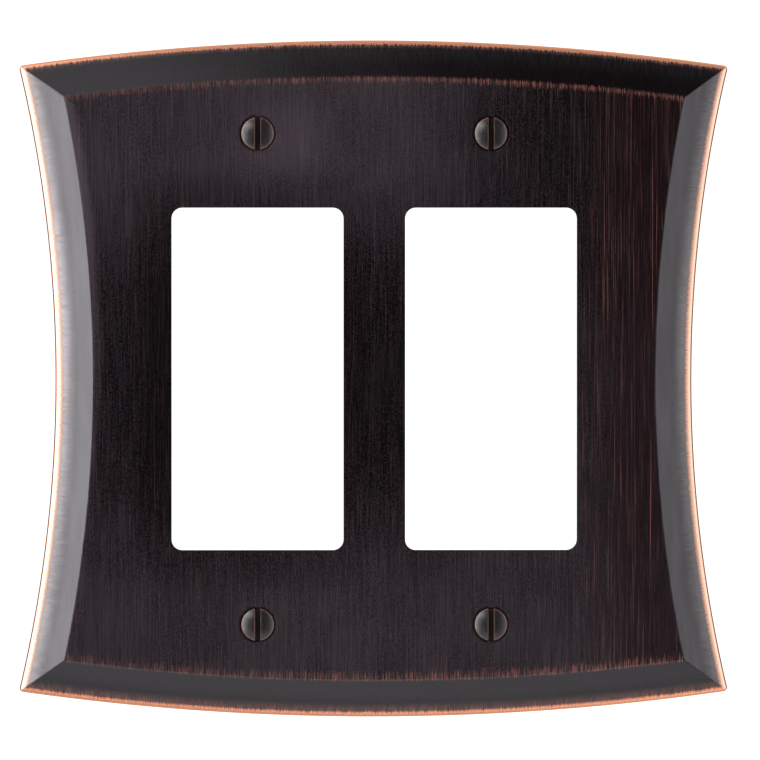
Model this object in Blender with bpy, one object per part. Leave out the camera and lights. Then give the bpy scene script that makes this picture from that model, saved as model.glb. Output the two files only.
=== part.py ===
"""Two-gang decorator wall plate with its four mounting screws.

The plate stands as it is fitted: X runs to the right, Z runs up and the face looks towards -Y.
The origin is the plate's centre on the wall, so the plate fills Y from -DEPTH to 0 and the screws
run on behind it. Every length is in metres.

The outline has four arcs: the top and bottom bulge outwards and the two sides pull inwards. Each
level of the casting is the same outline moved inwards, so its bevel keeps one width and its
corners are mitred.
"""

import math

import bmesh
import bpy
from mathutils import Vector

INCH = 0.0254

# Outline at the wall, before its corners are rounded
CORNER_WIDTH = 0.1402
WAIST_WIDTH = 0.1257
CROWN_HEIGHT = 0.1336
CORNER_HEIGHT = 0.1235
CORNER_RADIUS = 0.0008

# Section through the casting
DEPTH = 0.0065
FACE_THICKNESS = 0.0022
LIP_HEIGHT = 0.0014
BEVEL_WIDTH = 0.0075
FOOT_WIDTH = 0.0025
HOLLOW_TOP_INSET = 0.0090
LIP_RADIUS = 0.0007
RIDGE_RADIUS = 0.0004

# Device openings
GANG_SPACING = 1.812 * INCH
OPENING_WIDTH = 0.0339
OPENING_HEIGHT = 0.0675
OPENING_RADIUS = 0.0021

# Screw holes
HOLE_SPACING = 3.812 * INCH
HOLE_RADIUS = 0.0020
COUNTERSINK_RADIUS = 0.0038
CONE_ANGLE = math.radians(82 / 2)
BOSS_RADIUS = 0.0045
BOSS_LENGTH = 0.0040

# Oval-head machine screws, number 6
HEAD_RADIUS = 0.0032
HEAD_RECESS = 0.0001
HEAD_LAND = 0.0001
HEAD_RISE = 0.0010
SHANK_RADIUS = 0.0017
SCREW_LENGTH = 0.75 * INCH
TIP_CHAMFER = 0.0005
SLOT_WIDTH = 0.0011
SLOT_DEPTH = 0.0014

# Fineness of the facets
ARC_STEPS = 16
FILLET_STEPS = 4
TURNED_STEPS = 32
DOME_STEPS = 5

OVERSHOOT = 0.001  # how far a cutter runs past the faces that it cuts
SMOOTH_ANGLE = math.radians(35)


def clear_scene():
    for obj in list(bpy.data.objects):
        bpy.data.objects.remove(obj, do_unlink=True)


def fillet(before, corner, after, radius):
    """The points of a round of this radius at a corner, from the side of before to that of after."""
    back = (before - corner).normalized()
    ahead = (after - corner).normalized()
    half_angle = back.angle(ahead) / 2
    centre = corner + (back + ahead).normalized() * radius / math.sin(half_angle)
    start = corner + back * radius / math.tan(half_angle) - centre
    sweep = -start.angle_signed(corner + ahead * radius / math.tan(half_angle) - centre)
    points = []
    for step in range(FILLET_STEPS + 1):
        angle = sweep * step / FILLET_STEPS
        turned = Vector(
            (
                start.x * math.cos(angle) - start.y * math.sin(angle),
                start.x * math.sin(angle) + start.y * math.cos(angle),
            )
        )
        points.append(centre + turned)
    return points


def arc_radius(chord, rise):
    return (chord**2 / 4 + rise**2) / (2 * rise)


def plate_outline(inset, corner_radius=CORNER_RADIUS):
    """The plate's outline in X and Z, moved inwards by inset, anticlockwise from the lower right corner."""
    side_rise = (CORNER_WIDTH - WAIST_WIDTH) / 2
    crown_rise = (CROWN_HEIGHT - CORNER_HEIGHT) / 2
    side_radius = arc_radius(CORNER_HEIGHT, side_rise)
    crown_radius = arc_radius(CORNER_WIDTH, crown_rise)
    side_centre = WAIST_WIDTH / 2 + side_radius
    crown_centre = CROWN_HEIGHT / 2 - crown_radius
    side_radius += inset
    crown_radius -= inset

    # the corner is where the two moved arcs cross
    span = math.hypot(side_centre, crown_centre)
    along = (crown_radius**2 - side_radius**2 + span**2) / (2 * span)
    across = math.sqrt(crown_radius**2 - along**2)
    to_side = Vector((side_centre, -crown_centre)) / span
    corner = Vector((0, crown_centre)) + to_side * along + Vector((-to_side.y, to_side.x)) * across

    side_angle = math.asin(corner.y / side_radius)
    crown_angle = math.asin(corner.x / crown_radius)
    fractions = [2 * step / ARC_STEPS - 1 for step in range(1, ARC_STEPS)]
    right = []
    top = []
    for fraction in fractions:
        angle = side_angle * fraction
        right.append(Vector((side_centre - side_radius * math.cos(angle), side_radius * math.sin(angle))))
        angle = crown_angle * fraction
        top.append(Vector((-crown_radius * math.sin(angle), crown_centre + crown_radius * math.cos(angle))))

    half = right + fillet(right[-1], corner, top[0], corner_radius) + top
    upper_left = Vector((-corner.x, corner.y))
    half += fillet(top[-1], upper_left, Vector((-right[-1].x, right[-1].y)), corner_radius)
    return half + [-point for point in half]


def rectangle_outline(width, height, radius):
    """A rectangle with round corners in X and Z, anticlockwise."""
    signs = ((1, -1), (1, 1), (-1, 1), (-1, -1))
    corners = [Vector((x * width / 2, z * height / 2)) for x, z in signs]
    points = []
    for index, corner in enumerate(corners):
        points += fillet(corners[index - 1], corner, corners[(index + 1) % 4], radius)
    return points


def circle_outline(radius):
    turns = [2 * math.pi * step / TURNED_STEPS for step in range(TURNED_STEPS)]
    return [Vector((radius * math.cos(turn), radius * math.sin(turn))) for turn in turns]


def make_solid(name, levels, place=(0, 0, 0)):
    """A closed solid through outlines of equal point counts: levels is (outline, Y) from back to front."""
    mesh = bpy.data.meshes.new(name)
    bm = bmesh.new()
    rings = []
    for outline, y in levels:
        rings.append([bm.verts.new((point.x, y, point.y)) for point in outline])
    for lower, upper in zip(rings, rings[1:]):
        for index, vertex in enumerate(lower):
            bm.faces.new((lower[index - 1], vertex, upper[index], upper[index - 1]))
    bm.faces.new(rings[0])
    bm.faces.new(rings[-1])
    bmesh.ops.recalc_face_normals(bm, faces=bm.faces)
    bm.to_mesh(mesh)
    bm.free()
    obj = bpy.data.objects.new(name, mesh)
    obj.location = place
    bpy.context.scene.collection.objects.link(obj)
    return obj


def add_boolean(obj, tool, operation):
    """Cuts tool from obj, or joins it on, and keeps the tool out of the model."""
    modifier = obj.modifiers.new(tool.name, "BOOLEAN")
    modifier.operation = operation
    modifier.solver = "EXACT"
    modifier.object = tool
    tool.hide_render = True
    tool.display_type = "WIRE"


def shade_round(obj):
    obj.data.shade_smooth()
    obj.data.set_sharp_from_angle(angle=SMOOTH_ANGLE)


def make_material(name, colour, roughness):
    material = bpy.data.materials.new(name)
    material.use_nodes = True
    shader = material.node_tree.nodes["Principled BSDF"]
    shader.inputs["Base Color"].default_value = (*colour, 1)
    shader.inputs["Metallic"].default_value = 1
    shader.inputs["Roughness"].default_value = roughness
    return material


def make_casting():
    """The plate's outside as a solid block, from its flat foot to its face."""
    foot = Vector((0, 0))
    lip = Vector((0, LIP_HEIGHT))
    ridge = Vector((BEVEL_WIDTH, DEPTH))
    face = Vector((2 * BEVEL_WIDTH, DEPTH))
    section = [foot, *fillet(foot, lip, ridge, LIP_RADIUS), *fillet(lip, ridge, face, RIDGE_RADIUS)]
    levels = [(plate_outline(inset), -height) for inset, height in section]
    return make_solid("cover_plate", levels)


def make_hollow():
    """The space behind the face: it narrows towards the face, as the bevel outside does."""
    mouth = plate_outline(FOOT_WIDTH)
    roof = plate_outline(HOLLOW_TOP_INSET)
    return make_solid("hollow", [(mouth, OVERSHOOT), (mouth, 0), (roof, FACE_THICKNESS - DEPTH)])


def make_boss(name, x, z):
    """The thick collar behind the face that a countersink needs."""
    outline = circle_outline(BOSS_RADIUS)
    levels = [(outline, BOSS_LENGTH - DEPTH), (outline, FACE_THICKNESS / 2 - DEPTH)]
    return make_solid(name, levels, (x, 0, z))


def make_opening(name, x):
    outline = rectangle_outline(OPENING_WIDTH, OPENING_HEIGHT, OPENING_RADIUS)
    return make_solid(name, [(outline, OVERSHOOT), (outline, -DEPTH - OVERSHOOT)], (x, 0, 0))


def make_screw_hole(name, x, z):
    """A clearance hole whose mouth is countersunk for the screw's head."""
    sink_depth = (COUNTERSINK_RADIUS - HOLE_RADIUS) / math.tan(CONE_ANGLE)
    drill = circle_outline(HOLE_RADIUS)
    flare = circle_outline(COUNTERSINK_RADIUS + OVERSHOOT * math.tan(CONE_ANGLE))
    levels = [(drill, OVERSHOOT), (drill, sink_depth - DEPTH), (flare, -DEPTH - OVERSHOOT)]
    return make_solid(name, levels, (x, 0, z))


def make_plate(corners):
    """The finished casting: hollowed out, with bosses, two openings and a hole at each screw."""
    plate = make_casting()
    add_boolean(plate, make_hollow(), "DIFFERENCE")
    for name, (x, z) in corners.items():
        add_boolean(plate, make_boss(f"boss_{name}", x, z), "UNION")
    for name, side in (("left", -1), ("right", 1)):
        add_boolean(plate, make_opening(f"opening_{name}", side * GANG_SPACING / 2), "DIFFERENCE")
    for name, (x, z) in corners.items():
        add_boolean(plate, make_screw_hole(f"hole_{name}", x, z), "DIFFERENCE")
    plate.data.materials.append(make_material("rubbed_bronze", (0.030, 0.020, 0.022), 0.38))
    shade_round(plate)


def screw_section():
    """The screw's turned profile as (radius, Y) from tip to crown, with Y = 0 on the plate's face."""
    land_back = HEAD_RECESS + HEAD_LAND
    cone_depth = (HEAD_RADIUS - SHANK_RADIUS) / math.tan(CONE_ANGLE)
    tip = HEAD_RECESS + SCREW_LENGTH
    section = [
        (SHANK_RADIUS - TIP_CHAMFER, tip),
        (SHANK_RADIUS, tip - TIP_CHAMFER),
        (SHANK_RADIUS, land_back + cone_depth),
        (HEAD_RADIUS, land_back),
    ]
    dome_radius = arc_radius(2 * HEAD_RADIUS, HEAD_RISE)
    dome_angle = math.asin(HEAD_RADIUS / dome_radius)
    for step in range(DOME_STEPS):
        angle = dome_angle * (1 - step / DOME_STEPS)
        rise = dome_radius * math.cos(angle) - (dome_radius - HEAD_RISE)
        section.append((dome_radius * math.sin(angle), HEAD_RECESS - rise))
    return section


def make_screw(name, x, z, material):
    """A slotted oval-head screw whose origin is on its own axis, level with the plate's face."""
    levels = [(circle_outline(radius), y) for radius, y in screw_section()]
    screw = make_solid(f"screw_{name}", levels, (x, -DEPTH, z))
    slot_outline = rectangle_outline(SLOT_WIDTH, 3 * HEAD_RADIUS, SLOT_WIDTH / 8)
    crown = HEAD_RECESS - HEAD_RISE
    slot_levels = [(slot_outline, crown + SLOT_DEPTH), (slot_outline, crown - OVERSHOOT)]
    slot = make_solid(f"slot_{name}", slot_levels)
    slot.parent = screw
    add_boolean(screw, slot, "DIFFERENCE")
    screw.data.materials.append(material)
    shade_round(screw)


def main():
    clear_scene()
    x = GANG_SPACING / 2
    z = HOLE_SPACING / 2
    corners = {
        "upper_left": (-x, z),
        "upper_right": (x, z),
        "lower_left": (-x, -z),
        "lower_right": (x, -z),
    }
    make_plate(corners)
    screw_metal = make_material("dark_bronze", (0.035, 0.025, 0.022), 0.32)
    for name, (x, z) in corners.items():
        make_screw(name, x, z, screw_metal)


main()
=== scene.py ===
"""Looks of the two-gang decorator wall plate: a rubbed-bronze casting and its four screws.

The plate stands as it is fitted, with X to the right, Z up and its face towards -Y. Lengths are in
metres, except inside the shaders, which work in millimetres.
"""

import math

import bmesh
import bpy
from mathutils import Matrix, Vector


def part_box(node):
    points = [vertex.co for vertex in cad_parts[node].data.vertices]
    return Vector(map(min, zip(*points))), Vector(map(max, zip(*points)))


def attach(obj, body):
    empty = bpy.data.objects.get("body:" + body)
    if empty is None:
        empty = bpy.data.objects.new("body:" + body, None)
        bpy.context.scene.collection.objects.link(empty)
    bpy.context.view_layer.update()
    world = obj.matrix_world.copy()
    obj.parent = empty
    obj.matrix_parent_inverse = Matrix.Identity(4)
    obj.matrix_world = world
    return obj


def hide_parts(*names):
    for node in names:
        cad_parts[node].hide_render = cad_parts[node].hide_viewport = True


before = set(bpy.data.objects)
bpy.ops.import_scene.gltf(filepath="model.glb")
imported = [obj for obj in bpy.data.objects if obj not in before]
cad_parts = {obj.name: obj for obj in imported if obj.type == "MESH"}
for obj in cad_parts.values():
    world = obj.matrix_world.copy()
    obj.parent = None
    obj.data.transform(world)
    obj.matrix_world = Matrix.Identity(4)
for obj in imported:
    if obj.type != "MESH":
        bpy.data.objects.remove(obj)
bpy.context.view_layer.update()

PLATE_LOW, PLATE_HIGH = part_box("cover_plate")
SCREWS = [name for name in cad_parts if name.startswith("screw_")]

# The plate's outline and section, as the casting is designed
DEPTH = PLATE_HIGH[1] - PLATE_LOW[1]
CROWN_HEIGHT = PLATE_HIGH[2] - PLATE_LOW[2]
CORNER_WIDTH = 0.1402
CORNER_HEIGHT = 0.1235
WAIST_WIDTH = 0.1257
CORNER_RADIUS = 0.0008
FACE_THICKNESS = 0.0022
LIP_HEIGHT = 0.0014
BEVEL_WIDTH = 0.0075
FOOT_WIDTH = 0.0025
HOLLOW_TOP_INSET = 0.0090
LIP_FLAT = 0.0007
LIP_REACH = 0.0040
RIDGE_RADIUS = 0.0012
MITRE_RADIUS = 0.0003
GANG_SPACING = 1.812 * 0.0254
OPENING_WIDTH = 0.0339
OPENING_HEIGHT = 0.0675
OPENING_RADIUS = 0.0021
HOLE_RADIUS = 0.0020
COUNTERSINK_RADIUS = 0.0038
CONE_ANGLE = math.radians(82 / 2)
BOSS_RADIUS = 0.0045
BOSS_LENGTH = 0.0040
BOSS_DRAFT = 0.0002
HOLLOW_ROUND = 0.0012
EDGE_ROUND = 0.00012
SHARP_ANGLE = math.radians(32)

# The screws
HEAD_RADIUS = 0.0032
HEAD_RECESS = 0.0001
HEAD_LAND = 0.0001
HEAD_RISE = 0.0010
NECK_RADIUS = 0.00145
THREAD_RADIUS = 0.0017
THREAD_DEPTH = 0.00042
THREAD_PITCH = 0.0254 / 32
THREAD_CREST_GAIN = 1.15  # above 1, it flattens the crests
THREAD_SHARP_ANGLE = math.radians(60)
SCREW_LENGTH = 0.75 * 0.0254
SLOT_WIDTH = 0.0011
SLOT_DEPTH = 0.0014

# Fineness of the meshes
ARC_STEPS = 72
FILLET_STEPS = 8
TURNED_STEPS = 96
THREAD_TURN_STEPS = 40
THREAD_ROWS_PER_PITCH = 10
OVERSHOOT = 0.001

MM = 1000  # the shaders work in millimetres

# The camera: a long lens, a touch left of and above the middle of the plate
VIEW_WIDTH = 0.1498
VIEW_CENTRE = (0.0011, -0.0002)
CAMERA_DISTANCE = 2.5
CAMERA_AZIMUTH = math.radians(-1.5)
CAMERA_ELEVATION = math.radians(0.8)
SENSOR_WIDTH = 36.0
FLOOR_DROP = 0.180
FLOOR_SIZE = 6.0

# The studio's brightness: all round, and in reflections from in front of and behind the plate. The last
# number is how gradually the reflections go from one to the other.
ROOM_LEVEL = 1.25
FRONT_LEVEL = 0.02
BACK_LEVEL = 0.7
LEVEL_BLEND = 0.25

# The soft lights, which face the middle of the plate: place, width and height, power in watts
SOFTBOXES = {
    "left_box": ((-0.60, -0.22, 0.10), (0.42, 1.00), 8.3),
    "left_strip": ((-0.60, 0.05, 0.10), (0.14, 1.00), 1.3),
    "right_box": ((0.60, -0.20, 0.0), (0.40, 0.80), 2.0),
    "right_strip": ((0.60, 0.05, 0.0), (0.14, 0.80), 0.46),
    "upper_left_box": ((-0.40, -0.44, 0.40), (0.28, 0.28), 1.4),
    "floor_box": ((0.02, -0.10, -0.23), (0.80, 0.20), 0.58),
    "top_strip": ((-0.09, -0.05, 0.24), (0.16, 0.08), 0.044),
}


# ---------------------------------------------------------------- outlines


def fillet(before, corner, after, radius):
    """The points of a round of this radius at a corner, from the side of before to that of after."""
    back = (before - corner).normalized()
    ahead = (after - corner).normalized()
    half_angle = back.angle(ahead) / 2
    centre = corner + (back + ahead).normalized() * radius / math.sin(half_angle)
    start = corner + back * radius / math.tan(half_angle) - centre
    end = corner + ahead * radius / math.tan(half_angle) - centre
    sweep = -start.angle_signed(end)
    points = []
    for step in range(FILLET_STEPS + 1):
        angle = sweep * step / FILLET_STEPS
        cosine, sine = math.cos(angle), math.sin(angle)
        points.append(centre + Vector((start.x * cosine - start.y * sine, start.x * sine + start.y * cosine)))
    return points


def soft_corner(before, corner, after):
    """A quadratic curve that leaves before and reaches after along the sides of the corner."""
    points = []
    for step in range(2 * FILLET_STEPS + 1):
        share = step / (2 * FILLET_STEPS)
        points.append(before * (1 - share) ** 2 + corner * 2 * share * (1 - share) + after * share**2)
    return points


def arc_radius(chord, rise):
    return (chord**2 / 4 + rise**2) / (2 * rise)


SIDE_RADIUS = arc_radius(CORNER_HEIGHT, (CORNER_WIDTH - WAIST_WIDTH) / 2)
SIDE_CENTRE = WAIST_WIDTH / 2 + SIDE_RADIUS
CROWN_RADIUS = arc_radius(CORNER_WIDTH, (CROWN_HEIGHT - CORNER_HEIGHT) / 2)
CROWN_CENTRE = CROWN_HEIGHT / 2 - CROWN_RADIUS


def plate_outline(inset, corner_radius=CORNER_RADIUS):
    """The plate's outline in X and Z, moved inwards by inset, anticlockwise from the lower right corner."""
    side_radius = SIDE_RADIUS + inset
    crown_radius = CROWN_RADIUS - inset
    span = math.hypot(SIDE_CENTRE, CROWN_CENTRE)
    along = (crown_radius**2 - side_radius**2 + span**2) / (2 * span)
    across = math.sqrt(crown_radius**2 - along**2)
    to_side = Vector((SIDE_CENTRE, -CROWN_CENTRE)) / span
    corner = Vector((0, CROWN_CENTRE)) + to_side * along + Vector((-to_side.y, to_side.x)) * across

    side_angle = math.asin(corner.y / side_radius)
    crown_angle = math.asin(corner.x / crown_radius)
    right = []
    top = []
    for step in range(1, ARC_STEPS):
        fraction = 2 * step / ARC_STEPS - 1
        angle = side_angle * fraction
        right.append(Vector((SIDE_CENTRE - side_radius * math.cos(angle), side_radius * math.sin(angle))))
        angle = crown_angle * fraction
        top.append(Vector((-crown_radius * math.sin(angle), CROWN_CENTRE + crown_radius * math.cos(angle))))

    half = right + fillet(right[-1], corner, top[0], corner_radius) + top
    upper_left = Vector((-corner.x, corner.y))
    half += fillet(top[-1], upper_left, Vector((-right[-1].x, right[-1].y)), corner_radius)
    return half + [-point for point in half]


def rectangle_outline(width, height, radius):
    """A rectangle with round corners in X and Z, anticlockwise."""
    signs = ((1, -1), (1, 1), (-1, 1), (-1, -1))
    corners = [Vector((x * width / 2, z * height / 2)) for x, z in signs]
    points = []
    for index, corner in enumerate(corners):
        points += fillet(corners[index - 1], corner, corners[(index + 1) % 4], radius)
    return points


def circle_outline(radius):
    turns = [2 * math.pi * step / TURNED_STEPS for step in range(TURNED_STEPS)]
    return [Vector((radius * math.cos(turn), radius * math.sin(turn))) for turn in turns]


# ---------------------------------------------------------------- meshes


def close_rings(bm, rings):
    """Faces from each ring of vertices to the next, with a cap on the first and the last."""
    for lower, upper in zip(rings, rings[1:]):
        for index, vertex in enumerate(lower):
            bm.faces.new((lower[index - 1], vertex, upper[index], upper[index - 1]))
    bm.faces.new(rings[0])
    bm.faces.new(rings[-1])
    bmesh.ops.recalc_face_normals(bm, faces=bm.faces)


def make_solid(name, levels, place=(0, 0, 0), material=None):
    """A closed solid through outlines of equal point counts: levels is (outline, Y) from back to front."""
    mesh = bpy.data.meshes.new(name)
    bm = bmesh.new()
    rings = []
    for outline, y in levels:
        rings.append([bm.verts.new((point.x, y, point.y)) for point in outline])
    close_rings(bm, rings)
    bm.to_mesh(mesh)
    bm.free()
    if material:
        mesh.materials.append(material)
    obj = bpy.data.objects.new(name, mesh)
    obj.location = place
    bpy.context.scene.collection.objects.link(obj)
    return obj


def combine(obj, operation, tools):
    """Cuts the tools from obj, or joins them on, for good, and removes them."""
    for tool in tools:
        modifier = obj.modifiers.new(tool.name, "BOOLEAN")
        modifier.operation = operation
        modifier.solver = "EXACT"
        modifier.material_mode = "TRANSFER"
        modifier.object = tool
    evaluated = obj.evaluated_get(bpy.context.evaluated_depsgraph_get())
    mesh = bpy.data.meshes.new_from_object(evaluated)
    obj.modifiers.clear()
    obj.data = mesh
    for tool in tools:
        bpy.data.objects.remove(tool, do_unlink=True)


def round_edges(obj, width, segments=3):
    """Small rounds on the sharp edges, with flat faces kept flat in the shading."""
    obj.data.shade_smooth()
    bevel = obj.modifiers.new("round_edges", "BEVEL")
    bevel.width = width
    bevel.segments = segments
    bevel.limit_method = "ANGLE"
    bevel.angle_limit = SHARP_ANGLE
    bevel.miter_outer = "MITER_ARC"
    bevel.use_clamp_overlap = True
    weighted = obj.modifiers.new("flat_faces", "WEIGHTED_NORMAL")
    weighted.weight = 100
    weighted.keep_sharp = True


def make_casting(material):
    """The plate's outside as a solid block, from its flat foot to its face."""
    foot = Vector((0, 0))
    wall_top = Vector((0, LIP_FLAT))
    lip = Vector((0, LIP_HEIGHT))
    ridge = Vector((BEVEL_WIDTH, DEPTH))
    face = Vector((2 * BEVEL_WIDTH, DEPTH))
    bevel_start = lip.lerp(ridge, LIP_REACH / BEVEL_WIDTH)
    section = [foot, *soft_corner(wall_top, lip, bevel_start), *fillet(lip, ridge, face, RIDGE_RADIUS)]
    levels = []
    for inset, height in section:
        corner_radius = max(CORNER_RADIUS - inset, MITRE_RADIUS)
        levels.append((plate_outline(inset, corner_radius), -height))
    return make_solid("plate_casting", levels, material=material)


def make_hollow(material):
    """The space behind the face, with a round where its sloping walls meet its roof."""
    roof_height = DEPTH - FACE_THICKNESS
    mouth = Vector((FOOT_WIDTH, 0))
    root = Vector((HOLLOW_TOP_INSET, roof_height))
    middle = Vector((2 * HOLLOW_TOP_INSET, roof_height))
    section = [mouth, *fillet(mouth, root, middle, HOLLOW_ROUND)]
    levels = [(plate_outline(inset), -height) for inset, height in section]
    levels.insert(0, (plate_outline(FOOT_WIDTH), OVERSHOOT))
    return make_solid("hollow", levels, material=material)


def make_boss(x, z, material):
    """The collar behind the face that a countersink needs, with a drafted side."""
    wide = circle_outline(BOSS_RADIUS)
    narrow = circle_outline(BOSS_RADIUS - BOSS_DRAFT)
    levels = [(narrow, BOSS_LENGTH - DEPTH), (wide, FACE_THICKNESS / 2 - DEPTH)]
    return make_solid("boss", levels, (x, 0, z), material)


def make_opening(x, material):
    outline = rectangle_outline(OPENING_WIDTH, OPENING_HEIGHT, OPENING_RADIUS)
    return make_solid("opening", [(outline, OVERSHOOT), (outline, -DEPTH - OVERSHOOT)], (x, 0, 0), material)


def make_screw_hole(x, z, material):
    sink_depth = (COUNTERSINK_RADIUS - HOLE_RADIUS) / math.tan(CONE_ANGLE)
    drill = circle_outline(HOLE_RADIUS)
    flare = circle_outline(COUNTERSINK_RADIUS + OVERSHOOT * math.tan(CONE_ANGLE))
    levels = [(drill, OVERSHOOT), (drill, sink_depth - DEPTH), (flare, -DEPTH - OVERSHOOT)]
    return make_solid("screw_hole", levels, (x, 0, z), material)


def screw_axes():
    """Where each screw's axis crosses the face, as X and Z, by node name."""
    axes = {}
    for name in SCREWS:
        low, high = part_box(name)
        axes[name] = ((low[0] + high[0]) / 2, (low[2] + high[2]) / 2)
    return axes


def make_plate(axes):
    front = rubbed_bronze()
    back = cast_back()
    plate = make_casting(front)
    combine(plate, "DIFFERENCE", [make_hollow(back)])
    combine(plate, "UNION", [make_boss(x, z, back) for x, z in axes.values()])
    gangs = sorted({round(x, 6) for x, z in axes.values()})
    combine(plate, "DIFFERENCE", [make_opening(x, front) for x in gangs])
    combine(plate, "DIFFERENCE", [make_screw_hole(x, z, front) for x, z in axes.values()])
    round_edges(plate, EDGE_ROUND)
    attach(plate, "plate")
    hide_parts("cover_plate")


def head_section():
    """The screw head's turned profile as (radius, Y), from the neck to the crown, with Y = 0 on the face."""
    land_back = HEAD_RECESS + HEAD_LAND
    cone_depth = (HEAD_RADIUS - NECK_RADIUS) / math.tan(CONE_ANGLE)
    section = [
        (NECK_RADIUS, land_back + cone_depth + THREAD_PITCH),
        (NECK_RADIUS, land_back + cone_depth),
        (HEAD_RADIUS, land_back),
    ]
    dome_radius = arc_radius(2 * HEAD_RADIUS, HEAD_RISE)
    dome_angle = math.asin(HEAD_RADIUS / dome_radius)
    steps = 2 * FILLET_STEPS
    for step in range(steps):
        angle = dome_angle * (1 - step / steps)
        rise = dome_radius * math.cos(angle) - (dome_radius - HEAD_RISE)
        section.append((dome_radius * math.sin(angle), HEAD_RECESS - rise))
    return section


def make_head(name, place, material):
    """The slotted oval head and its neck."""
    levels = [(circle_outline(radius), y) for radius, y in head_section()]
    head = make_solid(f"{name}_head", levels, place, material)
    slot_outline = rectangle_outline(SLOT_WIDTH, 3 * HEAD_RADIUS, SLOT_WIDTH / 8)
    crown = HEAD_RECESS - HEAD_RISE
    slot_levels = [(slot_outline, crown + SLOT_DEPTH), (slot_outline, crown - OVERSHOOT)]
    slot = make_solid("slot", slot_levels, place, material)
    combine(head, "DIFFERENCE", [slot])
    round_edges(head, EDGE_ROUND / 2, segments=2)
    return head


def make_thread(name, place, material):
    """The threaded shank: a tube whose radius follows a helix and fades out at both ends."""
    start = HEAD_RECESS + HEAD_LAND + (HEAD_RADIUS - NECK_RADIUS) / math.tan(CONE_ANGLE)
    length = HEAD_RECESS + SCREW_LENGTH - start
    rows = round(length / THREAD_PITCH * THREAD_ROWS_PER_PITCH)
    root_radius = THREAD_RADIUS - THREAD_DEPTH
    bm = bmesh.new()
    rings = []
    for row in range(rows + 1):
        y = start + length * row / rows
        fade = min(1, (y - start) / THREAD_PITCH, (start + length - y) / THREAD_PITCH)
        ring = []
        for step in range(THREAD_TURN_STEPS):
            turn = step / THREAD_TURN_STEPS
            phase = (y / THREAD_PITCH - turn) % 1
            crest = min(1, THREAD_CREST_GAIN * (1 - abs(2 * phase - 1)))
            radius = root_radius + THREAD_DEPTH * crest * fade
            angle = 2 * math.pi * turn
            ring.append(bm.verts.new((radius * math.cos(angle), y, radius * math.sin(angle))))
        rings.append(ring)
    close_rings(bm, rings)
    mesh = bpy.data.meshes.new(f"{name}_thread")
    bm.to_mesh(mesh)
    bm.free()
    mesh.shade_smooth()
    mesh.set_sharp_from_angle(angle=THREAD_SHARP_ANGLE)
    mesh.materials.append(material)
    thread = bpy.data.objects.new(f"{name}_thread", mesh)
    thread.location = place
    bpy.context.scene.collection.objects.link(thread)
    return thread


def make_screws(axes):
    head_metal = screw_bronze()
    thread_metal = thread_steel()
    for name, (x, z) in axes.items():
        place = (x, PLATE_LOW[1], z)
        pieces = [make_head(name, place, head_metal), make_thread(name, place, thread_metal)]
        for piece in pieces:
            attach(piece, name)
            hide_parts(name)


# ---------------------------------------------------------------- materials


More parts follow.
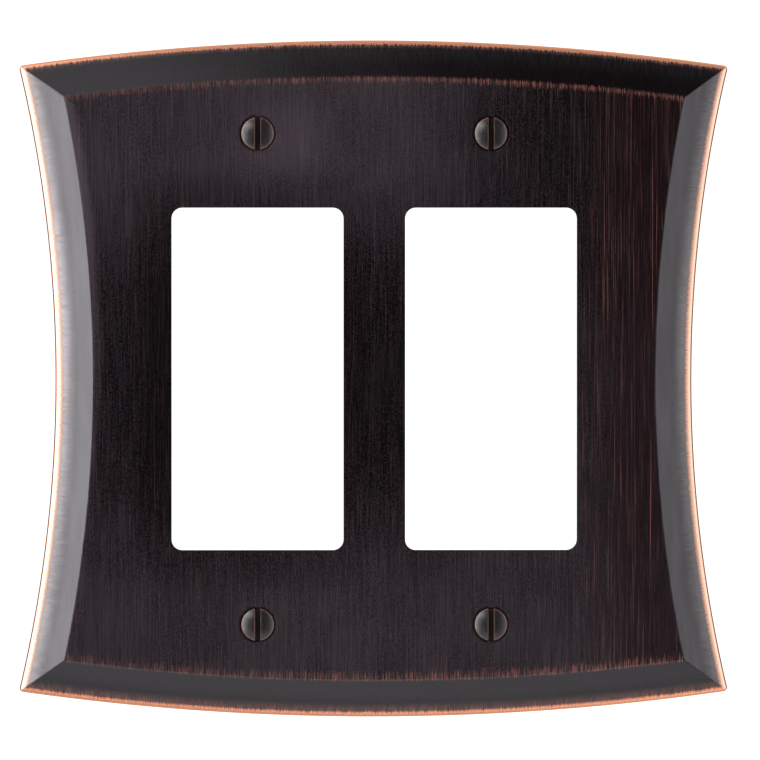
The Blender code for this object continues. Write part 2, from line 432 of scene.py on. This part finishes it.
class Shader:
    """A material written as a calculation: each method adds a node and returns its output."""

    def __init__(self, name):
        self.material = bpy.data.materials.new(name)
        self.material.use_nodes = True
        self.nodes = self.material.node_tree.nodes
        self.links = self.material.node_tree.links
        self.surface = self.nodes["Principled BSDF"]

    def feed(self, socket, value):
        if isinstance(value, bpy.types.NodeSocket):
            self.links.new(value, socket)
        else:
            socket.default_value = value

    def set(self, **inputs):
        """Sets the Principled shader's sockets: base_color=..., roughness=... and so on."""
        for name, value in inputs.items():
            title = " ".join(word if word == "IOR" else word.capitalize() for word in name.split("_"))
            self.feed(self.surface.inputs[title], value)

    def millimetres(self):
        """The piece's own coordinates in millimetres."""
        place = self.nodes.new("ShaderNodeTexCoord").outputs["Object"]
        return self.stretch(place, (MM, MM, MM))

    def stretch(self, vector, factors):
        node = self.nodes.new("ShaderNodeVectorMath")
        node.operation = "MULTIPLY"
        self.feed(node.inputs[0], vector)
        node.inputs[1].default_value = factors
        return node.outputs[0]

    def ring(self, radius, depth):
        """Coordinates that go round with the piece, for turned marks."""
        node = self.nodes.new("ShaderNodeCombineXYZ")
        self.feed(node.inputs[0], radius)
        self.feed(node.inputs[1], depth)
        return node.outputs[0]

    def split(self, vector):
        node = self.nodes.new("ShaderNodeSeparateXYZ")
        self.feed(node.inputs[0], vector)
        return node.outputs

    def math(self, operation, *values):
        node = self.nodes.new("ShaderNodeMath")
        node.operation = operation
        for socket, value in zip(node.inputs, values):
            self.feed(socket, value)
        return node.outputs[0]

    def product(self, *values):
        result = values[0]
        for value in values[1:]:
            result = self.math("MULTIPLY", result, value)
        return result

    def most(self, *values):
        result = values[0]
        for value in values[1:]:
            result = self.math("MAXIMUM", result, value)
        return result

    def inverse(self, value):
        return self.math("SUBTRACT", 1.0, value)

    def hypotenuse(self, first, second):
        total = self.math("ADD", self.math("POWER", first, 2.0), self.math("POWER", second, 2.0))
        return self.math("SQRT", total)

    def fade(self, value, start, end, low=0.0, high=1.0):
        """Goes smoothly from low at start to high at end."""
        node = self.nodes.new("ShaderNodeMapRange")
        node.interpolation_type = "SMOOTHSTEP"
        self.feed(node.inputs["Value"], value)
        for name, limit in (("From Min", start), ("From Max", end), ("To Min", low), ("To Max", high)):
            self.feed(node.inputs[name], limit)
        return node.outputs["Result"]

    def noise(self, vector, detail=2.0, roughness=0.5):
        node = self.nodes.new("ShaderNodeTexNoise")
        self.feed(node.inputs["Vector"], vector)
        node.inputs["Scale"].default_value = 1.0
        node.inputs["Detail"].default_value = detail
        node.inputs["Roughness"].default_value = roughness
        return node.outputs["Fac"]

    def blend(self, share, first, second):
        """A number between first and second."""
        node = self.nodes.new("ShaderNodeMix")
        node.data_type = "FLOAT"
        self.feed(node.inputs[0], share)
        self.feed(node.inputs[2], first)
        self.feed(node.inputs[3], second)
        return node.outputs[0]

    def mix(self, share, first, second):
        """A colour between first and second."""
        node = self.nodes.new("ShaderNodeMix")
        node.data_type = "RGBA"
        self.feed(node.inputs[0], share)
        for socket, value in ((node.inputs[6], first), (node.inputs[7], second)):
            self.feed(socket, value if isinstance(value, bpy.types.NodeSocket) else (*value, 1))
        return node.outputs[2]

    def tint(self, colour, share):
        """colour made lighter or darker by a factor."""
        node = self.nodes.new("ShaderNodeVectorMath")
        node.operation = "SCALE"
        self.feed(node.inputs[0], colour)
        self.feed(node.inputs["Scale"], share)
        return node.outputs[0]

    def bump(self, height, distance):
        node = self.nodes.new("ShaderNodeBump")
        node.inputs["Distance"].default_value = distance
        node.inputs["Strength"].default_value = 1.0
        self.feed(node.inputs["Height"], height)
        return node.outputs[0]


COPPER = (0.95, 0.41, 0.22)
ROSE_COPPER = (0.86, 0.31, 0.22)
# bare copper paled as a painted highlight on the side rims
PALE_COPPER_HIGHLIGHT = (0.86, 0.50, 0.37)
# pale metal of the side bevels' brushed hazing, partly a painted sheen
HAZE_AND_SHEEN = (0.80, 0.74, 0.76)
# painted dark reflection along the side rims' outer line
BROWN_EDGE_SHADE = (0.20, 0.10, 0.06)
DARK_PATINA = (0.0010, 0.0001, 0.0004)
PALE_PATINA = (0.0290, 0.0218, 0.0272)
RED_PATINA = (0.0046, 0.0006, 0.0010)
DARK_CASTING = (0.040, 0.029, 0.028)
PALE_CASTING = (0.060, 0.040, 0.034)
DARK_STEEL = (0.09, 0.075, 0.065)
BRIGHT_STEEL = (0.42, 0.36, 0.31)


class PlateSurface:
    """Where each point of the plate lies, in millimetres, and how it was brushed."""

    def __init__(self, s):
        self.place = s.millimetres()
        self.x, _, self.z = s.split(self.place)
        self.above = s.fade(self.z, -10.0, 10.0)

        # how far in from the outline: by the sides, by the crown, and by the nearer of them
        beside = s.math("SUBTRACT", SIDE_CENTRE * MM, s.math("ABSOLUTE", self.x))
        over = s.math("SUBTRACT", s.math("ABSOLUTE", self.z), CROWN_CENTRE * MM)
        self.from_side = s.math("SUBTRACT", s.hypotenuse(beside, self.z), SIDE_RADIUS * MM)
        self.from_crown = s.math("SUBTRACT", CROWN_RADIUS * MM, s.hypotenuse(self.x, over))
        self.inset = s.math("MINIMUM", self.from_side, self.from_crown)
        self.past_ridge = s.math("SUBTRACT", self.inset, BEVEL_WIDTH * MM)

        # 1 on that part, 0 off it
        self.on_side = s.fade(s.math("SUBTRACT", self.from_crown, self.from_side), -0.2, 0.2)
        self.on_face = s.fade(self.past_ridge, 0.0, 0.3)
        self.on_side_bevel = s.product(self.on_side, s.inverse(self.on_face))

        # strokes run up the face, and straight across each bevel
        self.fine = s.noise(s.stretch(self.place, (5.0, 0.5, 0.10)), 3, 0.6)
        hair_up = s.noise(s.stretch(self.place, (5.0, 0.5, 0.25)), 3, 0.6)
        hair_across = s.noise(s.stretch(self.place, (0.25, 0.5, 5.0)), 3, 0.6)
        self.hair = s.blend(self.on_side, hair_up, hair_across)
        self.ragged = s.math("ADD", self.inset, s.fade(self.hair, 0.30, 0.70, 0.22, -0.22))
        self.cloud = s.noise(s.stretch(self.place, (0.06, 0.06, 0.06)), 2, 0.5)


def rim_edge(s, plate):
    """The bare metal of the rim itself."""
    width = s.blend(plate.on_side, s.blend(plate.above, 1.25, 1.0), 1.8)
    return s.fade(plate.ragged, width, 0.3)


def rim_fringe(s, plate):
    """Strokes that feather the bare rim into the bevel."""
    width = s.blend(plate.on_side, s.blend(plate.above, 3.0, 1.6), 3.8)
    return s.product(s.fade(plate.ragged, width, 0.6), s.fade(plate.hair, 0.38, 0.62, 0.02, 0.12))


def ridge_bristle(s, plate):
    """Strokes of copper across the upper and lower ridges, closest together on the ridge itself."""
    past_crown = s.math("SUBTRACT", plate.from_crown, BEVEL_WIDTH * MM)
    near_ridge = s.product(
        s.fade(past_crown, -0.9, 0.0),
        s.fade(past_crown, s.blend(plate.above, 3.0, 1.4), 0.0),
        s.fade(plate.from_side, BEVEL_WIDTH * MM - 0.3, BEVEL_WIDTH * MM + 0.3),
    )
    short = s.noise(s.stretch(plate.place, (7.5, 0.5, 0.30)), 2, 0.6)
    stroke = s.math("ADD", short, s.product(near_ridge, 0.20))
    return s.product(
        s.fade(stroke, s.blend(plate.above, 0.65, 0.62), 0.82),
        s.fade(near_ridge, 0.0, s.blend(plate.above, 0.9, 0.4)),
        s.fade(plate.x, -60.0, 55.0, 0.5, 1.0),
    )


def scratches(s, plate):
    """Long upright scratches on the face, most of them on the right and near the side ridges."""
    long = s.noise(s.stretch(plate.place, (7.6, 0.5, 0.022)), 2, 0.6)
    share = s.most(s.fade(plate.x, 36.0, 52.0, 0.12, 1.0), s.fade(plate.past_ridge, 3.5, 0.5, 0.0, 0.5))
    return s.product(s.fade(long, 0.58, 0.70), s.fade(plate.fine, 0.42, 0.60, 0.3, 1.0), share, plate.on_face)


def hairlines(s, plate):
    """Fine worn lines all over the face, plainer towards the right."""
    share = s.fade(plate.x, -10.0, 45.0, 0.008, 0.022)
    return s.product(s.fade(plate.fine, 0.58, 0.74), plate.on_face, share)


def bevel_hazing_and_sheen(s, plate):
    """The brushing's hazing on the side bevels, with a painted sheen: strongest near the rim and on the lit
    left side.
    """
    drift = s.noise(s.stretch(plate.place, (0.45, 0.5, 0.07)), 2, 0.6)
    from_middle = s.math("ABSOLUTE", s.math("SUBTRACT", plate.z, 15.0))
    # painted sheen: brighter towards the rim, twice as strong on the left bevel as on the right
    hazing_and_sheen = s.product(
        s.fade(plate.inset, 4.4, 0.6, 0.0, 0.26),
        s.fade(plate.x, -20.0, 20.0, 1.0, 0.5),
        s.fade(from_middle, 0.0, 45.0, 1.0, 0.72),
    )
    return s.product(s.math("ADD", hazing_and_sheen, s.fade(drift, 0.35, 0.75, 0.0, 0.012)), plate.on_side_bevel)


def painted_shade_round_openings(s, plate):
    """Painted shade round the openings, most of all beside the left one."""
    from_gang = s.math("SUBTRACT", s.math("ABSOLUTE", plate.x), GANG_SPACING * MM / 2)
    past_side = s.math("SUBTRACT", s.math("ABSOLUTE", from_gang), OPENING_WIDTH * MM / 2)
    past_end = s.math("SUBTRACT", s.math("ABSOLUTE", plate.z), OPENING_HEIGHT * MM / 2)
    from_opening = s.hypotenuse(s.most(past_side, 0.0), s.most(past_end, 0.0))
    return s.product(
        s.fade(from_opening, 10.0, 3.0),
        s.fade(plate.x, -42.0, 38.0, 1.0, 0.20),
        s.fade(s.math("ABSOLUTE", plate.z), 40.0, 12.0, 0.30, 1.0),
    )


def rubbed_tone_and_painted_light(s, plate):
    """How pale the face's patina is: rubbed drifts together with painted light and shade. Palest at its ends,
    with a painted highlight above and left of the middle, and painted shade beside the left opening and
    towards the top on the right.
    """
    # painted highlight: a soft pool of light above and left of the middle of the face
    from_painted_highlight = s.hypotenuse(s.math("ADD", plate.x, 18.0), s.math("SUBTRACT", plate.z, 45.0))
    # left of the face: paler at the ends, darker in the middle, lower down and at the far left, as rubbed
    # drifts mixed with painted light and shade
    left = s.product(
        s.fade(s.math("ABSOLUTE", plate.z), 8.0, 46.0, 0.26, 1.0),
        s.inverse(painted_shade_round_openings(s, plate)),
        s.fade(plate.z, -30.0, 20.0, 0.43, 0.50),
        s.fade(from_painted_highlight, 14.0, 3.0, 1.0, 1.45),
        s.fade(plate.x, -40.0, 0.0, 0.87, 1.05),
    )
    # painted shade: the right of the face grows darker towards the top
    right = s.fade(plate.z, 55.0, -55.0, 0.09, 0.40)
    return s.blend(s.fade(plate.x, 2.0, 36.0), left, right)


def patina(s, plate):
    """The patina's colour: rubbed drifts with painted light and shade, mottled by grain and strokes, a
    painted highlight along the left ridge, and bevels painted paler on the left.
    """
    grain = s.noise(s.stretch(plate.place, (3.2, 3.2, 3.2)), 2, 0.7)
    streak = s.fade(plate.fine, 0.38, 0.62, -0.08, 0.08)
    mottle = s.math("ADD", s.fade(grain, 0.38, 0.62, -0.14, 0.14), streak)
    # painted highlight: paler patina along the left side ridge, brightest towards the top
    painted_left_ridge_highlight = s.product(
        s.fade(plate.past_ridge, 2.4, 0.0, 0.0, 0.7),
        s.fade(plate.x, 0.0, -45.0),
        s.fade(plate.z, -40.0, 45.0, 0.1, 1.0),
        plate.on_side,
    )
    tone = s.product(rubbed_tone_and_painted_light(s, plate), s.fade(plate.cloud, 0.30, 0.70, 0.88, 1.12))
    tone = s.math("ADD", s.math("ADD", tone, mottle), painted_left_ridge_highlight)
    # painted light: the bevels' patina is paler on the lit left side than on the right
    bevel_painted_side_light = s.fade(plate.x, -50.0, 60.0, 0.24, 0.06)
    tone = s.product(tone, s.blend(s.fade(plate.past_ridge, -0.5, 0.5), bevel_painted_side_light, 1.0))
    reddish = s.product(s.fade(plate.x, 38.0, 54.0, 0.0, 0.6), plate.on_face)
    return s.mix(reddish, s.mix(tone, DARK_PATINA, PALE_PATINA), RED_PATINA)


def bare_metal(s, plate, edge):
    """The colour under the patina: copper above and below, paler at the sides as a painted highlight, and
    brown at their outer line as a painted dark reflection.
    """
    # painted highlight: the side rims and bevels get paler metal than the top and bottom
    side = s.mix(s.fade(plate.ragged, 2.0, 1.2), HAZE_AND_SHEEN, PALE_COPPER_HIGHLIGHT)
    metal = s.mix(plate.on_side_bevel, s.mix(edge, ROSE_COPPER, COPPER), side)
    # painted dark reflection: a brown line along the outermost edge of the side rims
    return s.mix(s.product(s.fade(plate.inset, 0.38, 0.20), plate.on_side_bevel), metal, BROWN_EDGE_SHADE)


def plate_roughness(s, plate):
    """Satin all over, and rougher where the bevels are brushed near the rim, though less so above."""
    on_top = s.product(s.fade(plate.z, 0.0, 10.0), s.inverse(plate.on_side))
    brushed = s.product(
        s.fade(plate.inset, 5.6, 1.6),
        s.fade(plate.inset, 0.3, 1.0),
        s.fade(plate.hair, 0.40, 0.62, 0.16, 0.48),
        s.blend(on_top, 1.0, 0.3),
    )
    return s.math("ADD", brushed, s.fade(s.blend(0.5, plate.fine, plate.cloud), 0.30, 0.70, 0.21, 0.30))


def rubbed_bronze():
    """Near-black patina over copper, rubbed through at the rim and ridges and in long upright scratches, with
    painted light, shade and sheen in its colour.
    """
    s = Shader("rubbed_bronze")
    plate = PlateSurface(s)
    edge = rim_edge(s, plate)
    # wear, together with the painted sheen of the side bevels
    wear = s.most(
        edge,
        rim_fringe(s, plate),
        s.product(ridge_bristle(s, plate), 0.12),
        s.product(scratches(s, plate), 0.11),
        hairlines(s, plate),
        bevel_hazing_and_sheen(s, plate),
    )
    s.set(
        base_color=s.mix(wear, patina(s, plate), bare_metal(s, plate, edge)),
        metallic=wear,
        roughness=plate_roughness(s, plate),
        specular_tint=(0.97, 0.93, 1.0, 1),
        normal=s.bump(s.math("ADD", plate.fine, plate.hair), 0.000010),
    )
    return s.material


def cast_back():
    """The unfinished back of the casting: sand-grained, dark, with the plating's dull copper showing."""
    s = Shader("cast_back")
    place = s.millimetres()
    grain = s.noise(s.stretch(place, (3.0, 3.0, 3.0)), 4, 0.7)
    cloud = s.noise(s.stretch(place, (0.08, 0.08, 0.08)), 3, 0.6)
    colour = s.mix(s.fade(cloud, 0.3, 0.7), DARK_CASTING, PALE_CASTING)
    s.set(
        base_color=s.tint(colour, s.fade(grain, 0.3, 0.7, 0.75, 1.25)),
        metallic=0.55,
        roughness=s.fade(grain, 0.3, 0.7, 0.50, 0.66),
        normal=s.bump(grain, 0.00006),
    )
    return s.material


def screw_bronze():
    """The screw heads: dark patina in turned rings, rubbed to copper at the slot's edges and the rim."""
    s = Shader("screw_bronze")
    place = s.millimetres()
    x, y, z = s.split(place)
    radius = s.hypotenuse(x, z)
    speckle = s.noise(s.stretch(place, (3.5, 3.5, 3.5)), 3, 0.6)
    rings = s.noise(s.stretch(s.ring(radius, y), (6.0, 6.0, 1.0)), 2, 0.6)
    from_slot = s.math("ABSOLUTE", s.math("SUBTRACT", s.math("ABSOLUTE", x), SLOT_WIDTH * MM / 2))
    slot_edge = s.product(s.fade(from_slot, 0.20, 0.0), s.fade(y, 0.05, -0.15), 0.14)
    rim = s.product(s.fade(radius, HEAD_RADIUS * MM - 0.45, HEAD_RADIUS * MM), 0.12)
    wear = s.product(s.most(slot_edge, rim), s.fade(speckle, 0.35, 0.65, 0.2, 1.0))
    tone = s.product(s.fade(rings, 0.3, 0.7, 0.15, 0.40), s.fade(speckle, 0.3, 0.7, 0.7, 1.3))
    s.set(
        base_color=s.mix(wear, s.mix(tone, DARK_PATINA, PALE_PATINA), COPPER),
        metallic=wear,
        roughness=s.fade(speckle, 0.3, 0.7, 0.28, 0.40),
        normal=s.bump(rings, 0.000012),
    )
    return s.material


def thread_steel():
    """Dark plated steel, bright along the thread's crests."""
    s = Shader("thread_steel")
    place = s.millimetres()
    x, _, z = s.split(place)
    radius = s.hypotenuse(x, z)
    crest = s.fade(radius, (THREAD_RADIUS - THREAD_DEPTH / 3) * MM, THREAD_RADIUS * MM)
    speckle = s.noise(s.stretch(place, (4.0, 4.0, 4.0)), 3, 0.6)
    bright = s.product(crest, s.fade(speckle, 0.3, 0.7, 0.3, 1.0))
    s.set(
        base_color=s.mix(bright, DARK_STEEL, BRIGHT_STEEL),
        metallic=1.0,
        roughness=s.fade(speckle, 0.3, 0.7, 0.28, 0.45),
    )
    return s.material


# ---------------------------------------------------------------- studio


def make_floor():
    """A white floor below the plate, which hangs clear of it as on a wall."""
    bpy.ops.mesh.primitive_plane_add(size=FLOOR_SIZE, location=(0, 0, PLATE_LOW[2] - FLOOR_DROP))
    floor = bpy.context.object
    floor.name = "floor"
    s = Shader("floor_white")
    s.set(base_color=(0.85, 0.85, 0.85, 1), roughness=0.9)
    floor.data.materials.append(s.material)
    floor.visible_glossy = False


def add_softbox(name, position, size, power):
    """A soft rectangular light that faces the plate."""
    lamp = bpy.data.lights.new(name, "AREA")
    lamp.shape = "RECTANGLE"
    lamp.size, lamp.size_y = size
    lamp.energy = power
    obj = bpy.data.objects.new(name, lamp)
    obj.location = position
    obj.rotation_euler = (-Vector(position)).to_track_quat("-Z", "Y").to_euler()
    obj.visible_camera = False
    bpy.context.scene.collection.objects.link(obj)


def make_world():
    """White to the camera and on the floor; in reflections, dim in front of the plate and white behind it."""
    world = bpy.data.worlds.new("studio")
    bpy.context.scene.world = world
    world.use_nodes = True
    nodes = world.node_tree.nodes
    links = world.node_tree.links
    direction = nodes.new("ShaderNodeSeparateXYZ")
    links.new(nodes.new("ShaderNodeTexCoord").outputs["Generated"], direction.inputs[0])
    ahead = nodes.new("ShaderNodeMapRange")
    ahead.interpolation_type = "SMOOTHSTEP"
    limits = {"From Min": -LEVEL_BLEND, "From Max": LEVEL_BLEND, "To Min": FRONT_LEVEL, "To Max": BACK_LEVEL}
    for name, value in limits.items():
        ahead.inputs[name].default_value = value
    links.new(direction.outputs["Y"], ahead.inputs["Value"])
    level = nodes.new("ShaderNodeMix")
    level.data_type = "FLOAT"
    level.inputs[2].default_value = ROOM_LEVEL
    links.new(nodes.new("ShaderNodeLightPath").outputs["Is Glossy Ray"], level.inputs[0])
    links.new(ahead.outputs["Result"], level.inputs[3])
    links.new(level.outputs[0], nodes["Background"].inputs["Strength"])
    nodes["Background"].inputs["Color"].default_value = (1, 1, 1, 1)


def make_camera():
    data = bpy.data.cameras.new("camera")
    camera = bpy.data.objects.new("camera", data)
    bpy.context.scene.collection.objects.link(camera)
    target = Vector((VIEW_CENTRE[0], PLATE_LOW[1], VIEW_CENTRE[1]))
    back = Vector(
        (
            math.sin(CAMERA_AZIMUTH) * math.cos(CAMERA_ELEVATION),
            -math.cos(CAMERA_AZIMUTH) * math.cos(CAMERA_ELEVATION),
            math.sin(CAMERA_ELEVATION),
        )
    )
    camera.location = target + back * CAMERA_DISTANCE
    camera.rotation_euler = (-back).to_track_quat("-Z", "Y").to_euler()
    data.sensor_width = SENSOR_WIDTH
    data.lens = SENSOR_WIDTH * CAMERA_DISTANCE / VIEW_WIDTH
    data.clip_end = 50
    bpy.context.scene.camera = camera


def make_studio():
    make_floor()
    make_world()
    for name, (place, size, power) in SOFTBOXES.items():
        add_softbox(name, place, size, power)
    bpy.context.scene.view_settings.view_transform = "Standard"


def main():
    make_camera()
    axes = screw_axes()
    make_plate(axes)
    make_screws(axes)
    make_studio()


main()
